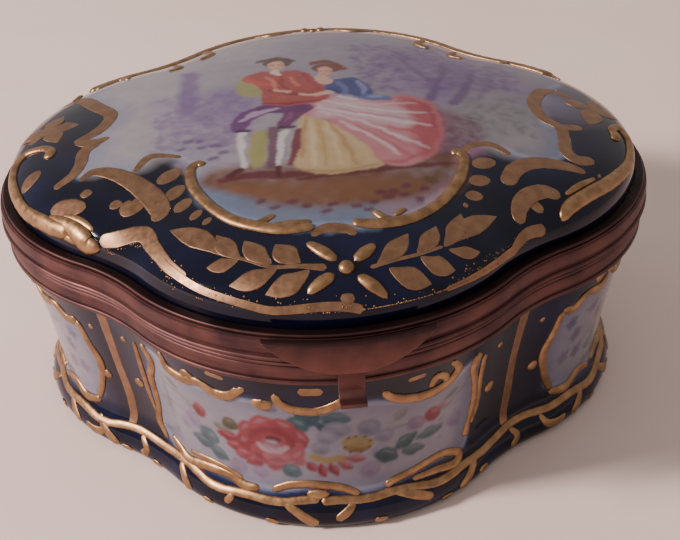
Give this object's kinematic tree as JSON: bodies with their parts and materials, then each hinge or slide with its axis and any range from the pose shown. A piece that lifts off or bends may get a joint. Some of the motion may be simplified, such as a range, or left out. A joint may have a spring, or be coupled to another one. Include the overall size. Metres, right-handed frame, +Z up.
{
  "type": "porcelain trinket box",
  "caption": "Four-lobed porcelain trinket box with a hinged domed lid, metal rim mounts, a thumb-piece and a snap tongue.",
  "frame": {"origin": "under the middle of the foot, at the height of the surface that the box stands on", "axes": "+X along the length to the right, +Z up, front at -Y and hinge at +Y"},
  "size_m": [0.1106, 0.1094, 0.0504],
  "materials": {
    "porcelain": "cobalt underglaze and painted reserves under a clear gloss glaze, with fired gilding",
    "mount_metal": "worn gilding over oxidised copper alloy, satin",
    "plaster": "matt plaster",
    "lip_brass": "rolled brass strip, lightly tarnished",
    "pin_metal": "drawn wire, dull",
    "thumb_metal": "dark red-brown patina, satin",
    "tongue_metal": "oxidised spring strip with bright edges"
  },
  "bodies": {
    "box_body": {"porcelain_body": "porcelain", "body_mount": "mount_metal", "body_bedding": "plaster", "locating_lip": "lip_brass", "body_knuckle_left": "mount_metal", "body_knuckle_middle": "mount_metal", "body_knuckle_right": "mount_metal", "hinge_pin": "pin_metal"},
    "lid": {"porcelain_lid": "porcelain", "lid_mount": "mount_metal", "lid_bedding": "plaster", "lid_knuckle_left": "mount_metal", "lid_knuckle_right": "mount_metal", "thumb_piece": "thumb_metal", "catch_tongue": "tongue_metal"}
  },
  "joints": [
    {"name": "lid_hinge", "type": "hinge", "parent": "box_body", "child": "lid", "pos_m": [0, 0.0534, 0.03543], "axis": [-1, 0, 0], "range_deg": [0, 100]}
  ]
}
